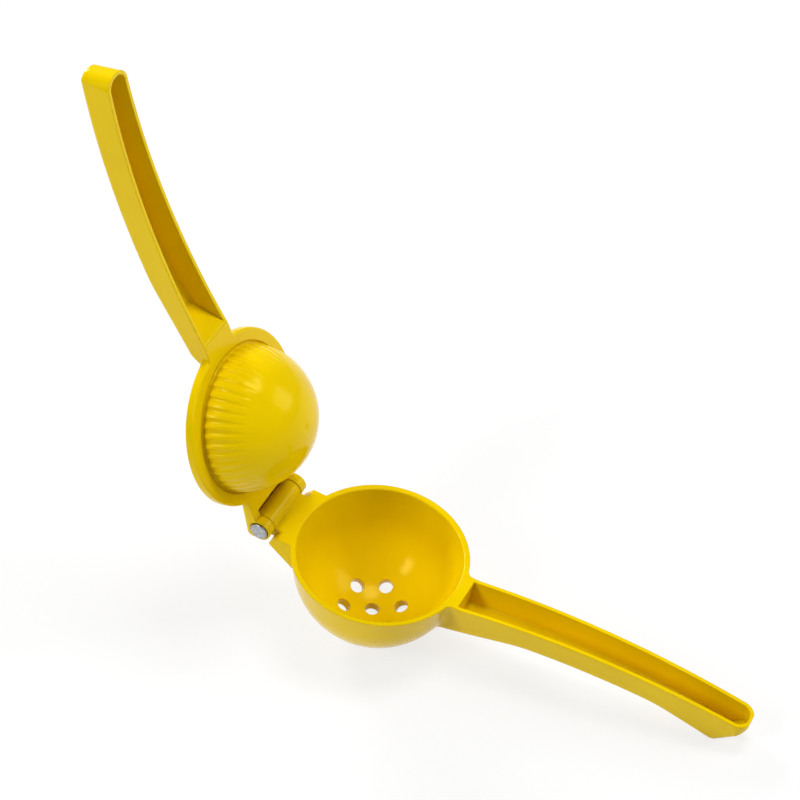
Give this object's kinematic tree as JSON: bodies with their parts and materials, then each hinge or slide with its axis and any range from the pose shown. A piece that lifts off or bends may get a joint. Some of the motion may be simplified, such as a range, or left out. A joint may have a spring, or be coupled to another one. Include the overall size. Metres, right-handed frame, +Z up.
{
  "type": "hinged lemon squeezer",
  "caption": "Hinged hand squeezer for lemons: a perforated bowl arm and a ribbed dome arm on one riveted pin, with open-channel handles.",
  "frame": {"origin": "on the table, under the middle of the tool's bounding box, as it lies on the bowl's round bottom and the heel of its handle", "axes": "+Z up from the table, +X from the hinge towards the tip of the bowl arm's handle, Y along the hinge pin"},
  "size_m": [0.269, 0.074, 0.2585],
  "materials": {
    "enamelled_casting": "glossy baked enamel on die-cast aluminium",
    "steel_pin": "plated steel rivet, satin"
  },
  "bodies": {
    "bowl_arm": {"bowl_arm": "enamelled_casting"},
    "press_arm": {"press_arm": "enamelled_casting", "hinge_pin": "steel_pin"}
  },
  "joints": [
    {"name": "hinge", "type": "hinge", "parent": "bowl_arm", "child": "press_arm", "pos_m": [-0.07589, 0, 0.04929], "axis": [0, 1, 0], "range_deg": [0, 112]}
  ]
}
